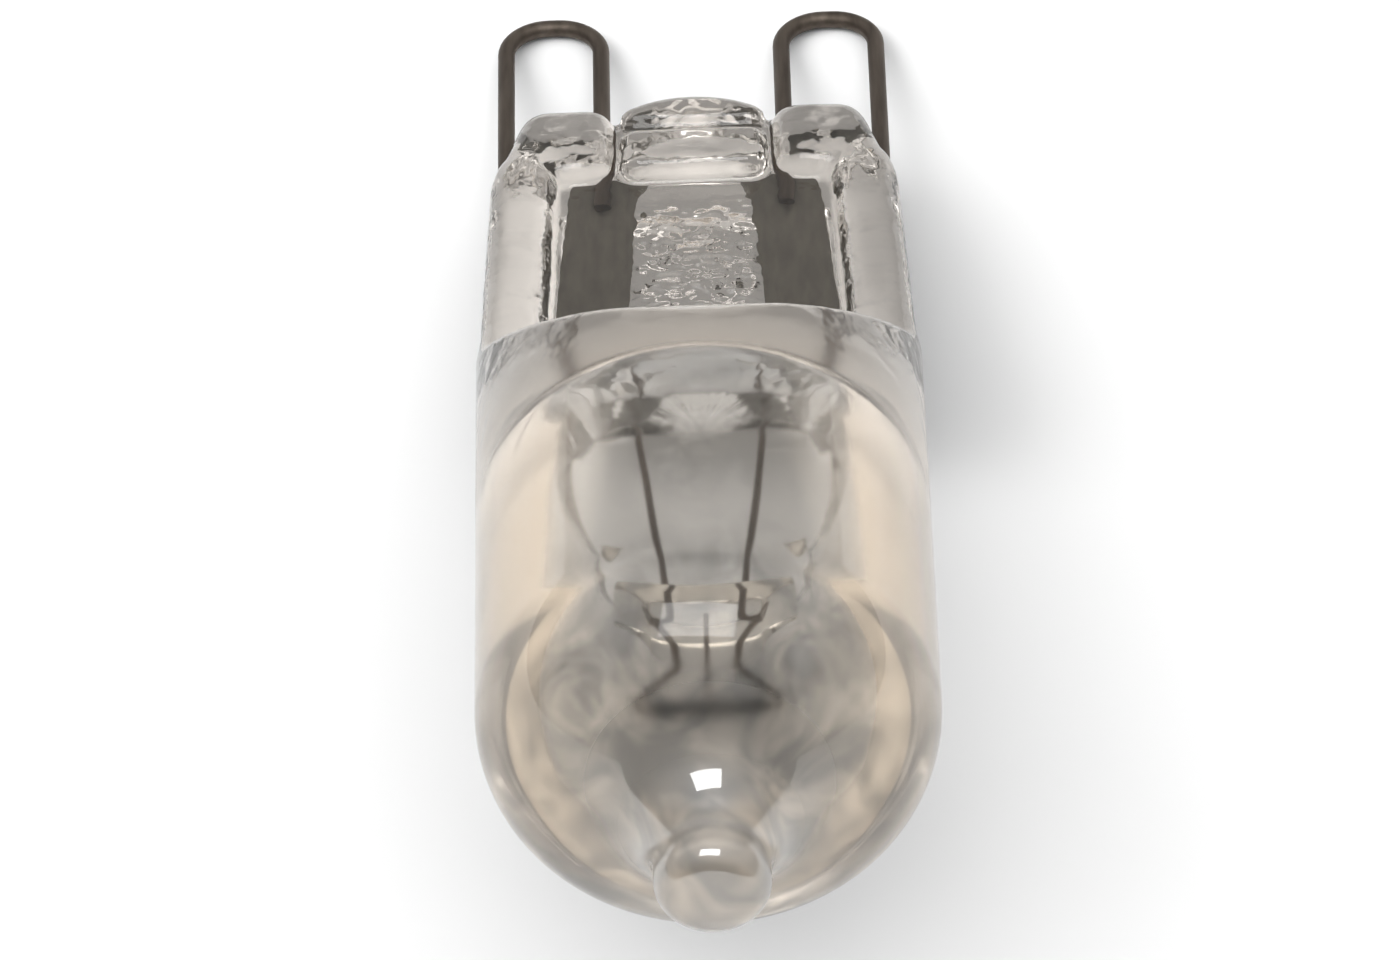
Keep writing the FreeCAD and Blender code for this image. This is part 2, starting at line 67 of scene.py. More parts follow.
def spot(across, along, up=0.0):
    """A place on the drawing as a point of the scene."""
    return Vector((across, -along, up)) * MM


def reach(node):
    """Lowest and highest place of a solid on the drawing, as (across, along, up)."""
    low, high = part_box(node)
    return Vector((low.x, -high.y, low.z)) / MM, Vector((high.x, -low.y, high.z)) / MM


glass_low, glass_high = reach("glass_envelope")
print("glass in millimetres:", glass_low[:], "to", glass_high[:])

# %% [markdown]
# ## Wiring shader nodes
#
# A finish could be wired node by node, but the same few steps come back in each: a product, a soft noise,
# a fade along the bulb. Each is a short helper here that takes sockets or numbers and hands back a socket,
# so that a finish reads almost like a formula.

# %% Node helpers
PLACE, VALUE, COLOUR = "NodeSocketVector", "NodeSocketFloat", "NodeSocketColor"


def new_group(name, inputs, outputs):
    """An empty shader group with named sockets."""
    group = bpy.data.node_groups.new(name, "ShaderNodeTree")
    for label, kind in inputs.items():
        group.interface.new_socket(label, in_out="INPUT", socket_type=kind)
    for label, kind in outputs.items():
        group.interface.new_socket(label, in_out="OUTPUT", socket_type=kind)
    return group, group.nodes.new("NodeGroupInput").outputs, group.nodes.new("NodeGroupOutput").inputs


def give(tree, value, socket):
    """Set a socket from a number or link it to another socket."""
    if isinstance(value, float):
        socket.default_value = value
    else:
        tree.links.new(value, socket)


def calculate(tree, operation, first, *others):
    """One operation over sockets and numbers, from left to right."""
    for other in others:
        node = tree.nodes.new("ShaderNodeMath")
        node.operation = operation
        give(tree, first, node.inputs[0])
        give(tree, other, node.inputs[1])
        first = node.outputs["Value"]
    return first


def noise(tree, vector, scale, detail, swirl=0.0):
    """Soft noise at a place, with its scale from a number or a socket."""
    node = tree.nodes.new("ShaderNodeTexNoise")
    node.inputs["Detail"].default_value = detail
    node.inputs["Distortion"].default_value = swirl
    tree.links.new(vector, node.inputs["Vector"])
    give(tree, scale, node.inputs["Scale"])
    return node.outputs["Fac"]


def span(tree, value, start, full):
    """From 0 to 1 as a value goes from a start to its full, both numbers or sockets."""
    ramp = tree.nodes.new("ShaderNodeMapRange")
    ramp.interpolation_type = "SMOOTHSTEP"
    tree.links.new(value, ramp.inputs["Value"])
    give(tree, start, ramp.inputs["From Min"])
    give(tree, full, ramp.inputs["From Max"])
    return ramp.outputs["Result"]


def fade(tree, vector, start, full, axis="Y"):
    """From 0 to 1 between two places along the bulb, or between two widths to either side."""
    parts = tree.nodes.new("ShaderNodeSeparateXYZ")
    tree.links.new(vector, parts.inputs["Vector"])
    place = calculate(tree, "MULTIPLY", parts.outputs[axis], -1.0 / MM)
    if axis == "X":
        place = calculate(tree, "MAXIMUM", place, calculate(tree, "MULTIPLY", place, -1.0))
    return span(tree, place, start, full)


# %% [markdown]
# ## The skin of hot glass
#
# Glass that was worked hot never sets quite flat. It has long soft waves all over, short ripples where the
# press touched it, and a patch of finer ripples stamped between the foils. These could be sculpted, but
# they are tiny beside the bulb, so noises make a height, and a Bump node turns that into slopes. It is a
# group because the outside, the hollow and the bridge all have such a skin, each with its own depths.

# %% Skin group
RIPPLE_FADE = 2.0
WAVE_DETAIL, RIPPLE_DETAIL, STAMP_DETAIL = 1.0, 2.0, 1.0
STAMP_RIPPLES = 1500.0
STAMP_START, STAMP_END, STAMP_SIDE = (3.6, 4.4), (11.0, 10.0), (2.2, 1.4)

skin_group, given, result = new_group(
    "hot_glass_skin",
    {
        "Vector": PLACE,
        "Streaks": PLACE,
        "Waves": VALUE,
        "Wave depth": VALUE,
        "Ripples": VALUE,
        "Ripple depth": VALUE,
        "Ripple end": VALUE,
        "Stamp depth": VALUE,
    },
    {"Height": VALUE},
)
place = given["Vector"]
ripple_full = calculate(skin_group, "SUBTRACT", given["Ripple end"], RIPPLE_FADE)
slow = calculate(
    skin_group,
    "MULTIPLY",
    noise(skin_group, place, given["Waves"], WAVE_DETAIL),
    given["Wave depth"],
)
quick = calculate(
    skin_group,
    "MULTIPLY",
    noise(skin_group, given["Streaks"], given["Ripples"], RIPPLE_DETAIL),
    given["Ripple depth"],
    fade(skin_group, place, given["Ripple end"], ripple_full),
)
stamp = calculate(
    skin_group,
    "MULTIPLY",
    noise(skin_group, place, STAMP_RIPPLES, STAMP_DETAIL),
    given["Stamp depth"],
    fade(skin_group, place, *STAMP_START),
    fade(skin_group, place, *STAMP_END),
    fade(skin_group, place, *STAMP_SIDE, axis="X"),
)
skin_group.links.new(calculate(skin_group, "ADD", slow, quick, stamp), result["Height"])
print(skin_group.name, "has", len(skin_group.nodes), "nodes")

# %% [markdown]
# ## Haze of the flame
#
# The tip is closed in a flame, which leaves it hazy, and the crest of the pressed shoulder is a little dull
# too. Haze is roughness, and it blurs what is seen through the glass. One roughness all over would be
# simpler, but the capsule would then be as dull as its tip, so the haze is faded in along the bulb. The
# fade towards the tip is also put out by itself, for the gloss that lies over the haze there.

# %% Haze group
CREST_START, CREST_END = (13.5, 15.0), (19.5, 18.2)

haze_group, given, result = new_group(
    "flame_haze",
    {"Vector": PLACE, "Clear": VALUE, "Crest": VALUE, "Worked": VALUE, "Start": VALUE, "Full": VALUE},
    {"Roughness": VALUE, "Gloss": VALUE},
)
place = given["Vector"]
worked = fade(haze_group, place, given["Start"], given["Full"])
crest = calculate(
    haze_group,
    "MULTIPLY",
    fade(haze_group, place, *CREST_START),
    given["Crest"],
    fade(haze_group, place, *CREST_END),
)
tip = calculate(haze_group, "MULTIPLY", worked, given["Worked"])
haze_group.links.new(calculate(haze_group, "ADD", tip, crest, given["Clear"]), result["Roughness"])
haze_group.links.new(worked, result["Gloss"])
print(haze_group.name, "has", len(haze_group.nodes), "nodes")

# %% [markdown]
# ## Tint of painted shade
#
# Quartz is clear. The warm grey of the walls and the dark swirls towards the tip stand for darker, warmer
# surroundings seen through the glass, so the tint is painted shade. It could be absorption inside the glass,
# but that is the same everywhere. A colour on the skin can change from place to place, so three colours are
# mixed along the bulb, and a twisted noise breaks up the last of them.

# %% Tint group
PRESSED_END = 11.2
BLOWN_START, BLOWN_FULL = PRESSED_END + 2.0, PRESSED_END + 10.0
# Places along the bulb where the darkest painted shade fades in.
PAINTED_SHADE_START, PAINTED_SHADE_FULL = 25.0, 31.0
SWIRL_SCALE, SWIRL_DETAIL, SWIRL_TWIST = 420.0, 2.0, 1.2
SWIRL_PALE, SWIRL_DARK = 0.25, 0.7


def mixed(tree, share, first, second):
    """A mix of two colours by a share."""
    node = tree.nodes.new("ShaderNodeMix")
    node.data_type = "RGBA"
    colours = [socket for socket in node.inputs if socket.type == "RGBA"]
    tree.links.new(share, node.inputs["Factor"])
    tree.links.new(first, colours[0])
    tree.links.new(second, colours[1])
    return next(socket for socket in node.outputs if socket.type == "RGBA")


shade_tint_group, given, result = new_group(
    "quartz_tint_painted_shade",
    {"Vector": PLACE, "Pressed": COLOUR, "Blown": COLOUR, "Worked": COLOUR},
    {"Color": COLOUR},
)
place = given["Vector"]
blown = fade(shade_tint_group, place, BLOWN_START, BLOWN_FULL)
swirl = noise(shade_tint_group, place, SWIRL_SCALE, SWIRL_DETAIL, SWIRL_TWIST)
# Painted shade: the darkest colour fades in towards the tip, broken into swirls.
painted_shade = calculate(
    shade_tint_group,
    "MULTIPLY",
    fade(shade_tint_group, place, PAINTED_SHADE_START, PAINTED_SHADE_FULL),
    span(shade_tint_group, swirl, SWIRL_PALE, SWIRL_DARK),
)
body = mixed(shade_tint_group, blown, given["Pressed"], given["Blown"])
shade_tint_group.links.new(mixed(shade_tint_group, painted_shade, body, given["Worked"]), result["Color"])
print(shade_tint_group.name, "has", len(shade_tint_group.nodes), "nodes")

# %% [markdown]
# ## Starting a finish
#
# All finishes start alike: a Principled shader, the object's own coordinates, and a bump. Own coordinates
# keep a pattern on the piece however it is turned. Inside the hollow the ripples were drawn out as the
# tube was squeezed, so they run towards the axis in streaks. Places pulled onto one ring about the axis
# give that: along a line towards the axis the noise stays the same.

# %% Finish helpers
RING = 5.0


def new_finish(name):
    """A material with its shader."""
    material = bpy.data.materials.new(name)
    material.use_nodes = True
    return material, material.node_tree, material.node_tree.nodes["Principled BSDF"]


def own_place(tree):
    """The object's own coordinates."""
    return tree.nodes.new("ShaderNodeTexCoord").outputs["Object"]


def use_group(tree, group, place, **values):
    """A node group in a material, with its values set by name."""
    node = tree.nodes.new("ShaderNodeGroup")
    node.node_tree = group
    tree.links.new(place, node.inputs["Vector"])
    for label, value in values.items():
        node.inputs[label.replace("_", " ").capitalize()].default_value = value
    return node


def raise_skin(tree, shader, height):
    """Let a height in metres tilt the shader's normals."""
    bump = tree.nodes.new("ShaderNodeBump")
    bump.inputs["Distance"].default_value = 1.0
    tree.links.new(height, bump.inputs["Height"])
    tree.links.new(bump.outputs["Normal"], shader.inputs["Normal"])


def about_axis(tree, place):
    """Places pulled onto one ring about the bulb's axis."""
    for operation, factors in (
        ("MULTIPLY", (1.0, 0.0, 1.0)),
        ("NORMALIZE", None),
        ("MULTIPLY", (RING * MM, RING * MM, RING * MM)),
    ):
        node = tree.nodes.new("ShaderNodeVectorMath")
        node.operation = operation
        tree.links.new(place, node.inputs[0])
        if factors:
            node.inputs[1].default_value = factors
        place = node.outputs["Vector"]
    return place


# %% [markdown]
# ## Glass
#
# Glass in a render bends what is seen through it, but a lamp's shadow rays can't bend, so clear glass
# would throw a black shadow. True caustics would cure that slowly and with much noise. Here the Light Path
# node lets shadow rays pass a plain transparent shader instead, and each glass has its own grey there.

# %% Glass maker
GLASS_IOR = 1.46
WAVE_DEPTH = 0.02
RIPPLES = 800.0


def let_lamplight_through(tree, shader, shade):
    """Swap the shader for a grey transparent one where only lamplight passes."""
    path = tree.nodes.new("ShaderNodeLightPath")
    through = tree.nodes.new("ShaderNodeBsdfTransparent")
    through.inputs["Color"].default_value = (shade, shade, shade, 1.0)
    mix = tree.nodes.new("ShaderNodeMixShader")
    tree.links.new(path.outputs["Is Shadow Ray"], mix.inputs["Fac"])
    tree.links.new(shader.outputs["BSDF"], mix.inputs[1])
    tree.links.new(through.outputs["BSDF"], mix.inputs[2])
    tree.links.new(mix.outputs["Shader"], tree.nodes["Material Output"].inputs["Surface"])


def clear_glass(name, shade, waves, ripple_depth=0.0, ripple_end=1.0, stamp_depth=0.0, drawn=False):
    """Clear glass with an uneven skin, whose ripples may be drawn out in streaks."""
    material, tree, shader = new_finish(name)
    shader.inputs["Transmission Weight"].default_value = 1.0
    shader.inputs["IOR"].default_value = GLASS_IOR
    place = own_place(tree)
    skin = use_group(
        tree,
        skin_group,
        place,
        waves=waves,
        wave_depth=WAVE_DEPTH * MM,
        ripples=RIPPLES,
        ripple_depth=ripple_depth * MM,
        ripple_end=ripple_end,
        stamp_depth=stamp_depth * MM,
    )
    tree.links.new(about_axis(tree, place) if drawn else place, skin.inputs["Streaks"])
    raise_skin(tree, shader, skin.outputs["Height"])
    let_lamplight_through(tree, shader, shade)
    return material, tree, shader, place


# %% [markdown]
# The outside could be one glass, but the pressed end is thick and full of edges, so it shades the paper
# more than the blown capsule. There are two glasses, then, with one skin, one tint of painted shade and one
# haze.
# The gloss that the flame leaves on the tip is a clear coat, which mirrors the lamps over the haze.

# %% Glass of the outside
GLOSS_IOR = 2.2
GLOSS_ROUGHNESS = 0.03
PRESSED_SHADE, BLOWN_SHADE = 0.32, 0.85

outer_skin = {"waves": 250.0, "ripple_depth": 0.12, "ripple_end": 18.0, "stamp_depth": 0.3}
outer_haze = {"clear": 0.06, "crest": 0.14, "worked": 0.32, "start": 31.2, "full": 33.0}
# Painted shade: warm greys for the darker surroundings seen through the glass, darkest at the tip.
outer_shade_tints = {
    "pressed": (0.76, 0.71, 0.655, 1.0),
    "blown": (0.53, 0.44, 0.34, 1.0),
    "worked": (0.14, 0.125, 0.105, 1.0),
}


def outer_glass(name, shade):
    """Glass of the outside: tinted with painted shade along the bulb, hazy at the crest, hazy and glossy at
    the tip.
    """
    material, tree, shader, place = clear_glass(name, shade, **outer_skin)
    shader.inputs["Coat IOR"].default_value = GLOSS_IOR
    shader.inputs["Coat Roughness"].default_value = GLOSS_ROUGHNESS
    tint = use_group(tree, shade_tint_group, place, **outer_shade_tints)
    tree.links.new(tint.outputs["Color"], shader.inputs["Base Color"])
    haze = use_group(tree, haze_group, place, **outer_haze)
    tree.links.new(haze.outputs["Roughness"], shader.inputs["Roughness"])
    tree.links.new(haze.outputs["Gloss"], shader.inputs["Coat Weight"])
    return material


quartz_pressed = outer_glass("quartz_pressed", PRESSED_SHADE)
quartz_blown = outer_glass("quartz_blown", BLOWN_SHADE)
print("glasses of the outside:", quartz_pressed.name, quartz_blown.name)

# %% [markdown]
# The hollow's colour is painted shade too, pale and slightly blue, which takes back some of the warmth that
# the outside adds, and it is hazy under the tip. The bridge is plain clear glass with short waves. What is
# the
# same all over needs no group: it is set on the shader itself.

# %% Glass of the hollow and the bridge
INNER_SHADE = 0.95
# The hollow's colour is a pale painted shade.
INNER_COLOUR = (0.86, 0.92, 1.0, 1.0)
BRIDGE_COLOUR = (0.85, 0.84, 0.82, 1.0)
BRIDGE_ROUGHNESS = 0.12
BRIDGE_WAVES = 400.0

inner_skin = {"waves": 200.0, "ripple_depth": 0.08, "ripple_end": 19.0, "drawn": True}
inner_haze = {"clear": 0.06, "crest": 0.0, "worked": 0.28, "start": 28.6, "full": 30.0}
quartz_inside, tree, shader, place = clear_glass("quartz_inside", INNER_SHADE, **inner_skin)
shader.inputs["Base Color"].default_value = INNER_COLOUR
haze = use_group(tree, haze_group, place, **inner_haze)
tree.links.new(haze.outputs["Roughness"], shader.inputs["Roughness"])

bridge_glass, tree, shader, place = clear_glass("bead_glass", INNER_SHADE, BRIDGE_WAVES)
shader.inputs["Base Color"].default_value = BRIDGE_COLOUR
shader.inputs["Roughness"].default_value = BRIDGE_ROUGHNESS
print("glasses inside:", quartz_inside.name, bridge_glass.name)

# %% [markdown]
# ## Metals
#
# The loops and leads are drawn wire with fine streaks along it, the foils are rolled thin, and the coil is
# bare tungsten. A flat grey would look like paint, so each metal is two tones in a fine grain, which also
# roughens the skin a little. One group makes the grain, and each finish stretches it along the wire.

# %% Metal maker
GRAIN_DETAIL = 3.0
GRAIN_DEPTH = 0.004
GRAIN_DARK, GRAIN_PALE = 0.3, 0.7

grain_group, given, result = new_group(
    "metal_grain",
    {"Vector": PLACE, "Grain": VALUE},
    {"Share": VALUE, "Height": VALUE},
)
grain = noise(grain_group, given["Vector"], given["Grain"], GRAIN_DETAIL)
grain_group.links.new(grain, result["Share"])
grain_group.links.new(calculate(grain_group, "MULTIPLY", grain, GRAIN_DEPTH * MM), result["Height"])
print(grain_group.name, "has", len(grain_group.nodes), "nodes")


def metal_finish(name, dark, pale, grain, stretch, roughness):
    """Drawn wire or rolled foil: two tones of one metal in a fine grain."""
    material, tree, shader = new_finish(name)
    shader.inputs["Metallic"].default_value = 1.0
    shader.inputs["Roughness"].default_value = roughness
    scale = tree.nodes.new("ShaderNodeMapping")
    scale.inputs["Scale"].default_value = (1.0, 1.0 / stretch, 1.0)
    tree.links.new(own_place(tree), scale.inputs["Vector"])
    streaks = use_group(tree, grain_group, scale.outputs["Vector"], grain=grain)
    ramp = tree.nodes.new("ShaderNodeValToRGB")
    for element, position, tone in zip(ramp.color_ramp.elements, (GRAIN_DARK, GRAIN_PALE), (dark, pale)):
        element.position = position
        element.color = (*tone, 1.0)
    tree.links.new(streaks.outputs["Share"], ramp.inputs["Fac"])
    tree.links.new(ramp.outputs["Color"], shader.inputs["Base Color"])
    raise_skin(tree, shader, streaks.outputs["Height"])
    return material


# %% [markdown]
# The loops have dulled to a warm brown-grey in the air. The leads inside are similar wire, a little
# shinier. The foils are a flat dark grey, and the coil is almost black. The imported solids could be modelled
# again too, but drawn wire and flat foil already have their true shapes there, so they only get a finish.

# %% Metal finishes
loop_metal = metal_finish(
    "loop_metal",
    dark=(0.09, 0.073, 0.06),
    pale=(0.16, 0.133, 0.11),
    grain=2600.0,
    stretch=8.0,
    roughness=0.55,
)
foil_metal = metal_finish(
    "foil_metal",
    dark=(0.165, 0.155, 0.135),
    pale=(0.21, 0.197, 0.17),
    grain=3000.0,
    stretch=4.0,
    roughness=0.5,
)
lead_metal = metal_finish(
    "lead_metal",
    dark=(0.1, 0.08, 0.065),
    pale=(0.18, 0.145, 0.12),
    grain=3000.0,
    stretch=8.0,
    roughness=0.4,
)
tungsten = metal_finish(
    "tungsten",
    dark=(0.05, 0.047, 0.047),
    pale=(0.09, 0.085, 0.085),
    grain=4000.0,
    stretch=1.0,
    roughness=0.45,
)
for node, finish in (
    ("contact_loop_left", loop_metal),
    ("contact_loop_right", loop_metal),
    ("foil_left", foil_metal),
    ("foil_right", foil_metal),
    ("lead_wire_left", lead_metal),
    ("lead_wire_right", lead_metal),
    ("support_wire", lead_metal),
):
    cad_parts[node].data.materials.clear()
    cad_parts[node].data.materials.append(finish)
    print(node, "is finished in", finish.name)

# %% [markdown]
# ## Walking along a section
#
# A lathe shape is quickest to draw as half a section. Its points could be worked out with sines and
# cosines, but Blender's own tools do that: a single point walks along the section, extruded over each
# straight run and spun about the centre of each round. The finished line is then spun about the axis.
# A spin may leave doubled points and turn faces inwards, so each shape is tidied. The doubles are merged
# first, because normals can only be recalculated on faces that hang together.

# %% Section helpers
MERGE = 0.0005


def verts_of(made, key="geom"):
    """The points among the results of a mesh operator."""
    return [item for item in made[key] if isinstance(item, bmesh.types.BMVert)]


def start_at(bm, across, along, up=0.0):
    """The first point of a section."""
    return bm.verts.new(spot(across, along, up))


def run_to(bm, point, across, along, up=0.0):
    """Extrude the section's last point to a new place."""
    end = verts_of(bmesh.ops.extrude_vert_indiv(bm, verts=[point]), "verts")[0]
    end.co = spot(across, along, up)
    return end


def round_about(bm, point, across, along, degrees, steps):
    """Spin the section's last point about a centre, anticlockwise if positive and seen from above."""
    made = bmesh.ops.spin(
        bm,
        geom=[point],
        cent=spot(across, along),
        axis=(0, 0, 1),
        angle=math.radians(degrees),
        steps=steps,
    )
    return verts_of(made, "geom_last")[0]


def tidy(bm):
    """Merge doubled points and turn all faces outwards."""
    bmesh.ops.remove_doubles(bm, verts=bm.verts, dist=MERGE * MM)
    bmesh.ops.recalc_face_normals(bm, faces=bm.faces)


def turn(bm, steps):
    """Spin the whole section about the axis of the bulb."""
    bmesh.ops.spin(
        bm,
        geom=bm.verts[:] + bm.edges[:],
        cent=(0, 0, 0),
        axis=(0, 1, 0),
        angle=2 * math.pi,
        steps=steps,
        use_merge=True,
    )
    tidy(bm)


# %% [markdown]
# ## The capsule
#
# The closed end of the tube is a knuckle that runs into a flatter crown, and the crown flares into the
# blunt tip where the exhaust tube was melted off. All these rounds meet without a corner, so their centres
# follow from each other: two circles touch where the line between their centres cuts them.

# %% Turn the capsule
RADIUS = glass_high.x
TIP_END = glass_high.y
DOME_DEPTH = 8.2
DOME_START = TIP_END - DOME_DEPTH
KNUCKLE, CROWN = 4.4, 8.8
KNUCKLE_STEPS, CROWN_STEPS, TIP_STEPS = 16, 12, 10
TIP_RADIUS = 1.75
TIP_ROUND = 0.8
TIP_FLARE = 2.5
SEAM = 19.2
QUARTER_TURN = 90
OUTER_STEPS = 192


def crown_middle(radius, dome_start, knuckle, crown):
    """Place of the crown's centre along the axis, where the crown touches the knuckle."""
    return dome_start - math.sqrt((crown - knuckle) ** 2 - (radius - knuckle) ** 2)


def dome_section(bm, point, radius, dome_start, knuckle, crown, foot):
    """Round a section over the knuckle and the crown as far as a foot on the crown."""
    middle = crown_middle(radius, dome_start, knuckle, crown)
    lean = math.degrees(math.asin((radius - knuckle) / (crown - knuckle)))
    point = round_about(bm, point, radius - knuckle, dome_start, lean - QUARTER_TURN, KNUCKLE_STEPS)
    lower = math.degrees(math.asin(foot / crown))
    return round_about(bm, point, 0, middle, lower - lean, CROWN_STEPS)


capsule = bmesh.new()
point = start_at(capsule, RADIUS, SEAM)
point = run_to(capsule, point, RADIUS, DOME_START)
flare_middle = TIP_RADIUS + TIP_FLARE
foot = CROWN * flare_middle / (CROWN + TIP_FLARE)
point = dome_section(capsule, point, RADIUS, DOME_START, KNUCKLE, CROWN, foot)
middle = crown_middle(RADIUS, DOME_START, KNUCKLE, CROWN)
flare_along = middle + math.sqrt((CROWN + TIP_FLARE) ** 2 - flare_middle ** 2)
bend = math.degrees(math.acos(flare_middle / (CROWN + TIP_FLARE)))
point = round_about(capsule, point, flare_middle, flare_along, bend, TIP_STEPS)
round_along = TIP_END - TIP_ROUND
point = run_to(capsule, point, TIP_RADIUS, round_along)
point = round_about(capsule, point, TIP_RADIUS - TIP_ROUND, round_along, -QUARTER_TURN, TIP_STEPS)
run_to(capsule, point, 0, TIP_END)
turn(capsule, OUTER_STEPS)
print("capsule:", len(capsule.faces), "faces")

# %% [markdown]
# ## The pressed end
#
# The press leaves a flat web with a thick rail down each side and a cheek at the end of each rail. Hot
# glass has no sharp corner anywhere. One mesh with such rounded forms is hard to model by hand, so they are
# drawn as plain blocks that overlap, and melted into one skin afterwards. Each block is a plan outline,
# extruded to both sides of the middle, with bevelled edges.

# %% Web, rails and cheeks
PINCH_HALF = 2.1
WEB_HALF = 1.3
WEB_START = 0.2
END_HALF = 5.4
NOTCH_HALF, NOTCH_END = 6.25, 2.9
RAIL_START, RAIL_END = 2.0, 12.8
RAIL_INNER, RAIL_TOP, RAIL_OUTER = 4.35, 5.9, 6.5
RAIL_END_INNER, RAIL_END_OUTER = 4.75, 6.9
CHEEK_INNER, CHEEK_FOOT = 2.5, 3.2
CHEEK_CORNER, CHEEK_HEEL = (6.3, 3.1), (5.2, 3.6)
WEB_SOFT, RAIL_SOFT, CHEEK_SOFT = 0.15, 0.85, 0.8
BEVEL_STEPS = 4


def soften(bm, edges, offset):
    """Round some edges of a block."""
    bmesh.ops.bevel(
        bm, geom=edges, offset=offset * MM, segments=BEVEL_STEPS, profile=0.5, affect="EDGES", material=-1
    )


def thicken(bm, faces, thickness):
    """Extrude a flat plan upwards into a block."""
    made = bmesh.ops.extrude_face_region(bm, geom=faces)
    bmesh.ops.translate(bm, verts=verts_of(made), vec=(0, 0, thickness * MM))
    bmesh.ops.recalc_face_normals(bm, faces=bm.faces)


def block(corners, half_thickness, soft):
    """A plan outline, extruded to both sides of the middle, with softened edges."""
    bm = bmesh.new()
    face = bm.faces.new([bm.verts.new(spot(*corner, -half_thickness)) for corner in corners])
    thicken(bm, [face], 2 * half_thickness)
    soften(bm, bm.edges[:], soft)
    return bm


def mirrored(corners):
    """The same outline on the other side of the middle."""
    return [(-across, along) for across, along in reversed(corners)]


rail_side = [(RAIL_OUTER, NOTCH_END), (RAIL_END_OUTER, RAIL_END)]
web_right = [(END_HALF, WEB_START), (NOTCH_HALF, NOTCH_END), *rail_side]
rail_right = [(RAIL_INNER, RAIL_START), (RAIL_TOP, RAIL_START), *rail_side, (RAIL_END_INNER, RAIL_END)]
cheek_right = [(CHEEK_INNER, 0.0), (END_HALF, 0.0), CHEEK_CORNER, CHEEK_HEEL, (CHEEK_INNER, CHEEK_FOOT)]
blocks = [block(web_right + mirrored(web_right), WEB_HALF, WEB_SOFT)]
for outline, soft in ((rail_right, RAIL_SOFT), (cheek_right, CHEEK_SOFT)):
    blocks += [block(outline, PINCH_HALF, soft), block(mirrored(outline), PINCH_HALF, soft)]
print("blocks so far:", len(blocks))

# %% [markdown]
# The boss between the cheeks has a convex end and a groove across each face. A disc gives the curve of the
# end, and planes cut its sides and foot. A boolean could cut the groove, but three cuts across the block
# are simpler: two beside the groove, and one along its bottom, which is then pushed in.

# %% Centre boss
BOSS_HALF = 2.3
BOSS_END = glass_low.y
BOSS_FOOT = 3.3
BOSS_CURVE = 3.9
BOSS_CURVE_STEPS = 96
BOSS_SOFT = 0.45
GROOVE_PLACE = 1.15
GROOVE_HALF = 0.4
GROOVE_DEPTH = 0.55
ON_LINE = 0.001
FACE_BAND = 0.3


def all_of(bm):
    """All points, edges and faces of a mesh."""
    return bm.verts[:] + bm.edges[:] + bm.faces[:]


boss = bmesh.new()
bmesh.ops.create_circle(boss, cap_ends=True, radius=BOSS_CURVE * MM, segments=BOSS_CURVE_STEPS)
bmesh.ops.translate(boss, verts=boss.verts, vec=spot(0, BOSS_END + BOSS_CURVE, -PINCH_HALF))
for edge_place, outward in (
    (spot(BOSS_HALF, 0), (1, 0, 0)),
    (spot(-BOSS_HALF, 0), (-1, 0, 0)),
    (spot(0, BOSS_FOOT), (0, -1, 0)),
):
    bmesh.ops.bisect_plane(
        boss, geom=all_of(boss), plane_co=edge_place, plane_no=outward, clear_outer=True
    )
thicken(boss, boss.faces[:], 2 * PINCH_HALF)
soften(boss, boss.edges[:], BOSS_SOFT)
for along in (GROOVE_PLACE - GROOVE_HALF, GROOVE_PLACE, GROOVE_PLACE + GROOVE_HALF):
    bmesh.ops.bisect_plane(boss, geom=all_of(boss), plane_co=spot(0, along), plane_no=(0, 1, 0))
for vert in boss.verts:
    on_groove = abs(vert.co.y + GROOVE_PLACE * MM) < ON_LINE * MM
    if on_groove and abs(vert.co.z) > (PINCH_HALF - FACE_BAND) * MM:
        vert.co.z -= math.copysign(GROOVE_DEPTH * MM, vert.co.z)
blocks.append(boss)
print("boss:", len(boss.faces), "faces")

# %% [markdown]
# The jaws of the press leave a slope on each flat side, from the web up to the full round of the capsule,
# and the crest of that slope is round. A short cylinder is turned and then cut by planes, as with a knife:
# the first cut is the slope, and each further cut is a little flatter, until the crest is rounded off.

# %% Shoulder
SHOULDER_FOOT = 11.6
SHOULDER_SLOPE = 50.0
SHOULDER_OVERLAP, SEAM_OVERLAP = 0.6, 2.0
CREST_ROUND = 3.0
CREST_RISE = 0.2
CREST_CUTS = 5


def open_edges(bm):
    """The edges round the holes of a mesh."""
    return [edge for edge in bm.edges if edge.is_boundary]


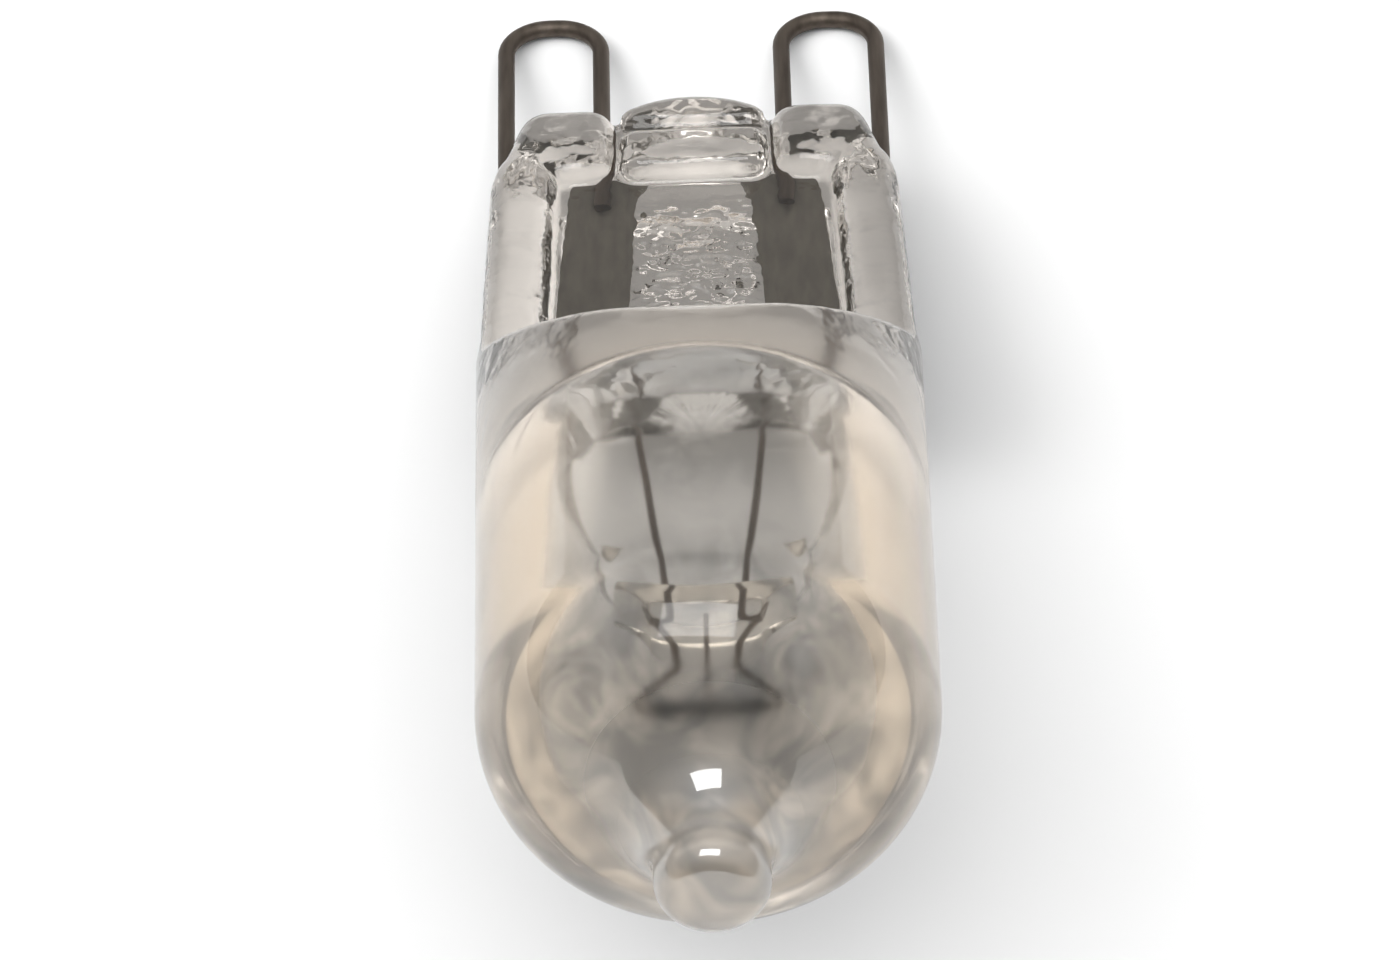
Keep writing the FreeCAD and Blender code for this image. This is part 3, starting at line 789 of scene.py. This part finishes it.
shoulder = bmesh.new()
point = start_at(shoulder, 0, SHOULDER_FOOT - SHOULDER_OVERLAP)
point = run_to(shoulder, point, RADIUS, SHOULDER_FOOT - SHOULDER_OVERLAP)
point = run_to(shoulder, point, RADIUS, SEAM + SEAM_OVERLAP)
run_to(shoulder, point, 0, SEAM + SEAM_OVERLAP)
turn(shoulder, OUTER_STEPS)
steep = math.radians(SHOULDER_SLOPE)
crest_up = RADIUS + CREST_RISE - CREST_ROUND
slope_up = crest_up + CREST_ROUND * math.cos(steep)
crest_along = SHOULDER_FOOT + (slope_up - WEB_HALF) / math.tan(steep) + CREST_ROUND * math.sin(steep)
for cut in range(CREST_CUTS):
    lean = steep * (1 - cut / CREST_CUTS)
    cut_along = crest_along - CREST_ROUND * math.sin(lean)
    cut_up = crest_up + CREST_ROUND * math.cos(lean)
    for side in (1, -1):
        bmesh.ops.bisect_plane(
            shoulder,
            geom=all_of(shoulder),
            plane_co=spot(0, cut_along, side * cut_up),
            plane_no=(0, math.sin(lean), side * math.cos(lean)),
            clear_outer=True,
        )
        bmesh.ops.holes_fill(shoulder, edges=open_edges(shoulder))
tidy(shoulder)
blocks.append(shoulder)
print("shoulder crest at", round(crest_along, 2))

# %% [markdown]
# In the real press the glass flows together. Booleans would join the blocks, but they leave a crease
# at each meeting. A voxel remesh wraps all of them in one even skin, whatever overlaps inside, and a few
# rounds of smoothing then let its corners flow as hot glass does.

# %% Melt the blocks into one skin
VOXEL, SMOOTHING = 0.12, 8
FLOW = 0.5


def take_in(bm, other):
    """Move the faces of another mesh into this one."""
    mesh = bpy.data.meshes.new("moved")
    other.to_mesh(mesh)
    other.free()
    bm.from_mesh(mesh)
    bpy.data.meshes.remove(mesh)


def melt(parts, voxel, smoothing):
    """Join closed blocks into one skin with a voxel remesh, and smooth it."""
    joined = bmesh.new()
    for part in parts:
        take_in(joined, part)
    mesh = bpy.data.meshes.new("blocks")
    joined.to_mesh(mesh)
    joined.free()
    holder = bpy.data.objects.new("blocks", mesh)
    bpy.context.scene.collection.objects.link(holder)
    remesh = holder.modifiers.new("melt", "REMESH")
    remesh.mode = "VOXEL"
    remesh.voxel_size = voxel * MM
    melted = bmesh.new()
    melted.from_object(holder, bpy.context.evaluated_depsgraph_get())
    bpy.data.objects.remove(holder)
    bpy.data.meshes.remove(mesh)
    for sweep in range(smoothing):
        bmesh.ops.smooth_vert(
            melted, verts=melted.verts, factor=FLOW, use_axis_x=True, use_axis_y=True, use_axis_z=True
        )
    return melted


skin = melt(blocks, VOXEL, SMOOTHING)
print("pressed end:", len(skin.faces), "faces")

# %% [markdown]
# ## One outer skin
#
# Capsule and pressed end are one piece of glass, so they become one mesh. The melted end is cut off square
# just before the capsule. Smoothing has shrunk it a little, so its round is set back to the capsule's own
# radius, more and more towards the cut. The two rims then have the same size and are bridged.

# %% Join the capsule to the pressed end
SEAM_GAP = 0.4
REROUND_REACH, REROUND_RUN = 2.0, 1.2

bmesh.ops.bisect_plane(
    skin, geom=all_of(skin), plane_co=spot(0, SEAM - SEAM_GAP), plane_no=(0, -1, 0), clear_outer=True
)
for vert in skin.verts:
    outward = Vector((vert.co.x, 0, vert.co.z))
    share = min(1.0, max(0.0, (-vert.co.y / MM - SEAM + REROUND_REACH) / REROUND_RUN))
    vert.co += outward.normalized() * (RADIUS * MM - outward.length) * share
take_in(skin, capsule)
bmesh.ops.bridge_loops(skin, edges=open_edges(skin))
tidy(skin)
print("outer skin closed:", all(edge.is_manifold for edge in skin.edges))

# %% [markdown]
# ## The sealed hollow
#
# Inside, the tube is round under the dome, with a narrow pit where the exhaust tube closed, and it is
# squeezed to a flat slit at the pinch. Solidify would give a wall of one thickness, but the real wall is
# thicker at both ends, so the hollow is a shape of its own. Its round part is walked and spun as before.

# %% Round part of the hollow
WALL = 2.0
HOLLOW_RADIUS = RADIUS - WALL
HOLLOW_WAIST = 17.4
HOLLOW_DOME = 26.8
HOLLOW_KNUCKLE, HOLLOW_CROWN = 3.0, 6.0
PIT_MOUTH, PIT_HALF, PIT_END = 0.8, 0.3, 32.6
INNER_STEPS = 128

hollow = bmesh.new()
point = start_at(hollow, HOLLOW_RADIUS, HOLLOW_WAIST)
point = run_to(hollow, point, HOLLOW_RADIUS, HOLLOW_DOME)
point = dome_section(
    hollow, point, HOLLOW_RADIUS, HOLLOW_DOME, HOLLOW_KNUCKLE, HOLLOW_CROWN, PIT_MOUTH
)
point = run_to(hollow, point, PIT_HALF, PIT_END)
run_to(hollow, point, 0, PIT_END)
turn(hollow, INNER_STEPS)
print("round part of the hollow:", len(hollow.faces), "faces")

# %% [markdown]
# The squeezed part grows from the open rim, which is extruded again and again. Each new rim is scaled to be
# flatter and narrower than the last, by a soft bend and then a straight slope, as the jaws leave it.

# %% Squeezed part of the hollow
HOLLOW_FLOOR = 15.0
FLOOR_HALF_WIDTH, FLOOR_HALF_GAP = 3.6, 0.6
TAPER_STEPS = 18
TAPER_BEND = 0.35


def edges_of(made):
    """The edges among the results of a mesh operator."""
    return [item for item in made["geom"] if isinstance(item, bmesh.types.BMEdge)]


def narrowed(run):
    """Share of the narrowing after a share of the taper: a soft bend, then a straight slope."""
    full = 1 - TAPER_BEND / 2
    return run ** 2 / (2 * TAPER_BEND) / full if run < TAPER_BEND else (run - TAPER_BEND / 2) / full


ring = open_edges(hollow)
move = (HOLLOW_WAIST - HOLLOW_FLOOR) / TAPER_STEPS
for step in range(TAPER_STEPS):
    made = bmesh.ops.extrude_edge_only(hollow, edges=ring)
    ring = [edge for edge in edges_of(made) if edge.is_boundary]
    shares = narrowed(step / TAPER_STEPS), narrowed((step + 1) / TAPER_STEPS)
    wide = [HOLLOW_RADIUS + (FLOOR_HALF_WIDTH - HOLLOW_RADIUS) * share for share in shares]
    high = [HOLLOW_RADIUS + (FLOOR_HALF_GAP - HOLLOW_RADIUS) * share for share in shares]
    bmesh.ops.scale(hollow, verts=verts_of(made), vec=(wide[1] / wide[0], 1, high[1] / high[0]))
    bmesh.ops.translate(hollow, verts=verts_of(made), vec=(0, move * MM, 0))
bmesh.ops.holes_fill(hollow, edges=open_edges(hollow))
tidy(hollow)
print("hollow closed:", all(edge.is_manifold for edge in hollow.edges))

# %% [markdown]
# ## From a mesh to a piece of the bulb
#
# A finished mesh becomes an object that rides on the bulb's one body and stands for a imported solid. It
# could be moved into place as an object, but here its place is in its mesh, and the object stays at the
# origin, unturned and unscaled, so that patterns on its own coordinates don't slide.

# %% Piece maker
def add_object(name, bm, materials):
    """A smooth-shaded object made of a mesh."""
    mesh = bpy.data.meshes.new(name)
    bm.to_mesh(mesh)
    bm.free()
    for polygon in mesh.polygons:
        polygon.use_smooth = True
    for material in materials:
        mesh.materials.append(material)
    made = bpy.data.objects.new(name, mesh)
    bpy.context.scene.collection.objects.link(made)
    print(name, "has", len(mesh.polygons), "faces")
    return made


def add_piece(name, bm, materials, slot, *nodes):
    """Turn a mesh into a piece of the bulb that stands for some of its solids."""
    piece = add_object(name, bm, materials)
    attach(piece, "root")
    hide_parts(*nodes)


# %% [markdown]
# The envelope is one piece of glass with an outer skin and a hollow. A boolean could cut the hollow out,
# but the two skins don't touch, so it is enough to put both into one mesh. The hollow's faces are turned
# round first, to point away from the glass. Each face gets one of the three glasses by its place.

# %% Clear envelope
PRESSED, BLOWN, INSIDE = 0, 1, 2

bmesh.ops.reverse_faces(hollow, faces=hollow.faces)
for face in hollow.faces:
    face.material_index = INSIDE
for face in skin.faces:
    face.material_index = PRESSED if -face.calc_center_median().y < PRESSED_END * MM else BLOWN
take_in(skin, hollow)
glasses = [quartz_pressed, quartz_blown, quartz_inside]
add_piece("clear_envelope", skin, glasses, "quartz", "glass_envelope")

# %% [markdown]
# ## The bridge
#
# A boat-shaped piece of clear glass holds both leads apart. Half of its outline is walked along the rim,
# the hollow flank and the sole, and mirrored, then filled and extruded. A bevel would cross itself at the
# thin horns, so the block is melted as the pressed end was.

# %% Clear bridge
bead_low, bead_high = reach("bead")
RIM_HALF = bead_high.x
RIM = bead_low.y
RIM_EDGE = 0.6
RIM_CURVE, FLANK_CURVE, SOLE_CURVE = 6.4, 2.6, 2.4
RIM_STEPS, FLANK_STEPS, SOLE_STEPS = 12, 12, 10
BRIDGE_DEPTH = 2.3
SOLE_HALF = 1.75
SOLE = RIM + BRIDGE_DEPTH
BRIDGE_VOXEL, BRIDGE_SMOOTHING = 0.07, 8


def half_angle(half_chord, radius):
    """Degrees that half a chord takes up on its circle."""
    return math.degrees(math.asin(half_chord / radius))


bridge = bmesh.new()
rim_middle = RIM - math.sqrt(RIM_CURVE ** 2 - RIM_HALF ** 2)
point = start_at(bridge, 0, rim_middle + RIM_CURVE, bead_low.z)
point = round_about(bridge, point, 0, rim_middle, half_angle(RIM_HALF, RIM_CURVE), RIM_STEPS)
point = run_to(bridge, point, RIM_HALF, RIM + RIM_EDGE, bead_low.z)
flank_from, flank_to = Vector((RIM_HALF, RIM + RIM_EDGE)), Vector((SOLE_HALF, SOLE))
half = (flank_to - flank_from) / 2
away = Vector((half.y, -half.x)).normalized() * math.sqrt(FLANK_CURVE ** 2 - half.length ** 2)
centre = flank_from + half + away
point = round_about(bridge, point, *centre, 2 * half_angle(half.length, FLANK_CURVE), FLANK_STEPS)
sole_middle = SOLE - math.sqrt(SOLE_CURVE ** 2 - SOLE_HALF ** 2)
round_about(bridge, point, 0, sole_middle, -half_angle(SOLE_HALF, SOLE_CURVE), SOLE_STEPS)
bmesh.ops.mirror(bridge, geom=all_of(bridge), axis="X", merge_dist=MERGE * MM)
bmesh.ops.contextual_create(bridge, geom=bridge.edges[:])
thicken(bridge, bridge.faces[:], bead_high.z - bead_low.z)
bridge = melt([bridge], BRIDGE_VOXEL, BRIDGE_SMOOTHING)
tidy(bridge)
print("bridge closed:", all(edge.is_manifold for edge in bridge.edges))
add_piece("clear_bridge", bridge, [bridge_glass], "quartz", "bead")

# %% [markdown]
# ## The coil
#
# The filament is fine wire wound on a straight rod. A curve with a bevel could be wound too, but a spin
# that also moves sideways at each step makes the same helix in one call from a small circle of wire.

# %% Wind the coil
coil_low, coil_high = reach("filament")
COIL_WIRE = 0.15
COIL_SIDES = 10
TURNS = 16
STEPS_PER_TURN = 20

coil_radius = (coil_high.z - coil_low.z) / 2
coil_middle = (coil_low + coil_high) / 2
coil_length = coil_high.x - coil_low.x
coil_steps = TURNS * STEPS_PER_TURN
coil = bmesh.new()
bmesh.ops.create_circle(coil, radius=COIL_WIRE / 2 * MM, segments=COIL_SIDES)
bmesh.ops.translate(
    coil,
    verts=coil.verts,
    vec=spot(coil_low.x + COIL_WIRE / 2, coil_middle.y + coil_radius - COIL_WIRE / 2, coil_middle.z),
)
bmesh.ops.spin(
    coil,
    geom=coil.verts[:] + coil.edges[:],
    cent=spot(*coil_middle),
    axis=(1, 0, 0),
    dvec=((coil_length - COIL_WIRE) / coil_steps * MM, 0, 0),
    angle=2 * math.pi * TURNS,
    steps=coil_steps,
)
bmesh.ops.holes_fill(coil, edges=open_edges(coil))
tidy(coil)
add_piece("wound_coil", coil, [tungsten], "tungsten", "filament")

# %% [markdown]
# ## The paper
#
# The bulb lies on white paper, on its two loops and the crest of its shoulder, so its axis is tilted to the
# paper. The bulb stays where it is, and the paper is tilted instead: it touches two rounds, that of the
# crest and that of the loop's wire, and its lean follows from their centres. Where the paper is seen
# through the glass it is lifted a little, because a real bulb gathers light there, which the plain
# transparent shadows don't.

# %% White paper
PAPER_HALF = 3.0
PAPER_TONE = 0.97
PAPER_LIFT = 0.3

loop_low, loop_high = reach("contact_loop_left")
wire = loop_high.z
run, drop = crest_along - loop_low.y - wire, crest_up
lean = math.atan2(drop, run) + math.asin((CREST_ROUND - wire) / math.hypot(run, drop))
white, tree, shader = new_finish("white_paper")
shader.inputs["Base Color"].default_value = (PAPER_TONE, PAPER_TONE, PAPER_TONE, 1.0)
shader.inputs["Roughness"].default_value = 1.0
shader.inputs["Specular IOR Level"].default_value = 0.0
shader.inputs["Emission Color"].default_value = (1.0, 1.0, 1.0, 1.0)
path = tree.nodes.new("ShaderNodeLightPath")
lift = calculate(tree, "MULTIPLY", path.outputs["Is Transmission Ray"], PAPER_LIFT)
tree.links.new(lift, shader.inputs["Emission Strength"])

sheet = bmesh.new()
bmesh.ops.create_grid(sheet, x_segments=1, y_segments=1, size=PAPER_HALF)
bmesh.ops.translate(sheet, verts=sheet.verts, vec=spot(0, 0, -CREST_ROUND))
bmesh.ops.rotate(sheet, verts=sheet.verts, cent=(0, 0, 0), matrix=Matrix.Rotation(lean, 3, "X"))
bmesh.ops.translate(sheet, verts=sheet.verts, vec=spot(0, crest_along, -crest_up))
paper = add_object("paper", sheet, [white])
print("paper leans by", round(math.degrees(lean), 1), "degrees")

# %% [markdown]
# ## The camera
#
# The picture was taken from in front of the tip and well above it. The camera stands on a line from the
# origin of the drawing, given by its tilt, a small yaw and its distance, and it is rolled a little. The
# origin isn't in the middle of the picture. The camera could be shifted for that, but it is turned instead,
# until the origin falls on its own pixel.

# %% Camera
PICTURE_WIDTH, PICTURE_HEIGHT = 1400, 960
ORIGIN_PIXEL = Vector((693.6, 149.0))
LENS_PIXELS = 8785.0
DISTANCE = 284.0
TILT = math.radians(38.0)
YAW = math.radians(0.32)
ROLL = math.radians(1.9)
SENSOR = 36.0
NEAREST, FARTHEST = 0.01, 10.0


def turned(first, second, angle):
    """Two directions at right angles, turned in their own plane."""
    cosine, sine = math.cos(angle), math.sin(angle)
    return first * cosine + second * sine, second * cosine - first * sine


back = Vector((0, -math.cos(TILT), math.sin(TILT)))
right = Vector((1, 0, 0))
down = Vector((0, -math.sin(TILT), -math.cos(TILT)))
back, right = turned(back, right, YAW)
right, down = turned(right, down, ROLL)
shift = Vector((PICTURE_WIDTH, PICTURE_HEIGHT)) / 2 - ORIGIN_PIXEL
behind = (back * LENS_PIXELS - right * shift.x - down * shift.y).normalized()
right = (right - behind * right.dot(behind)).normalized()
camera = bpy.data.cameras.new("camera")
camera.sensor_width = SENSOR
camera.lens = camera.sensor_width * LENS_PIXELS / PICTURE_WIDTH
camera.clip_start, camera.clip_end = NEAREST, FARTHEST
viewer = bpy.data.objects.new("camera", camera)
aimed = Matrix((right, behind.cross(right), behind)).transposed().to_4x4()
viewer.matrix_world = Matrix.Translation(back * DISTANCE * MM) @ aimed
bpy.context.scene.collection.objects.link(viewer)
bpy.context.scene.camera = viewer
print("lens:", round(camera.lens, 1), "mm")

# %% [markdown]
# ## The room
#
# Glass shows its room. In an evenly white one it would nearly vanish, so the world is darker at the walls
# than at the ceiling, which draws the soft grey edges inside the glass. Where the camera looks past the
# paper it sees plain white.

# %% Room light
WALLS, CEILING = 0.24, 0.8

world = bpy.data.worlds.new("studio")
world.use_nodes = True
room = world.node_tree
coords = room.nodes.new("ShaderNodeTexCoord")
parts = room.nodes.new("ShaderNodeSeparateXYZ")
rise = room.nodes.new("ShaderNodeMapRange")
rise.inputs["To Min"].default_value = WALLS
rise.inputs["To Max"].default_value = CEILING
room.links.new(coords.outputs["Generated"], parts.inputs["Vector"])
room.links.new(parts.outputs["Z"], rise.inputs["Value"])
path = room.nodes.new("ShaderNodeLightPath")
strength = calculate(room, "MAXIMUM", rise.outputs["Result"], path.outputs["Is Camera Ray"])
background = room.nodes["Background"]
background.inputs["Color"].default_value = (1.0, 1.0, 1.0, 1.0)
room.links.new(strength, background.inputs["Strength"])
bpy.context.scene.world = world
print("room from", WALLS, "to", CEILING)

# %% [markdown]
# ## The lamps
#
# A bright window in front and above is mirrored in the flare of the tip, and that is all it is for, so it
# lights no paper. A softbox at the left lays a soft shadow to the right, and one overhead fills it. Both
# stay out of the glass, where they would be smeared over it. They are sampled only as lamps, because
# otherwise part of their light would be looked for along bent rays from the paper, and those are cut off.

# %% Lamps
AIM_ALONG = 16
WINDOW_DISTANCE, SOFTBOX_DISTANCE = 0.6, 1.4


def add_lamp(name, direction, distance, width, height, radiance):
    """A rectangular soft lamp that faces the bulb, given its brightness as a surface."""
    lamp = bpy.data.lights.new(name, "AREA")
    lamp.shape = "RECTANGLE"
    lamp.size, lamp.size_y = width, height
    lamp.energy = radiance * math.pi * width * height
    holder = bpy.data.objects.new(name, lamp)
    direction = Vector(direction).normalized()
    aimed = direction.to_track_quat("Z", "Y").to_matrix().to_4x4()
    holder.matrix_world = Matrix.Translation(spot(0, AIM_ALONG) + direction * distance) @ aimed
    bpy.context.scene.collection.objects.link(holder)
    print(name, "gives", round(lamp.energy, 2), "W")
    return holder


window = add_lamp(
    "front_window", (-0.05, -0.45, 0.89), WINDOW_DISTANCE, width=0.36, height=0.28, radiance=5.5
)
window.visible_diffuse = False
for name, direction, width, radiance in (
    ("left_softbox", (-0.75, -0.2, 0.8), 0.8, 5.2),
    ("top_softbox", (0.0, -0.27, 0.96), 1.4, 0.95),
):
    softbox = add_lamp(name, direction, SOFTBOX_DISTANCE, width, width, radiance)
    softbox.visible_glossy = False
    softbox.visible_transmission = False
    softbox.data.cycles.use_multiple_importance_sampling = False

# %% [markdown]
# ## Finish
#
# A ray crosses many walls of glass before it leaves the bulb, so it may bounce more often than usual.
# Caustics are off, as the transparent shadows stand for them.

# %% Settings
BOUNCES, MIRROR_BOUNCES = 24, 16

scene = bpy.context.scene
scene.view_settings.view_transform = "Standard"
scene.cycles.max_bounces = BOUNCES
scene.cycles.glossy_bounces = MIRROR_BOUNCES
scene.cycles.transmission_bounces = BOUNCES
scene.cycles.transparent_max_bounces = BOUNCES
scene.cycles.caustics_reflective = False
scene.cycles.caustics_refractive = False
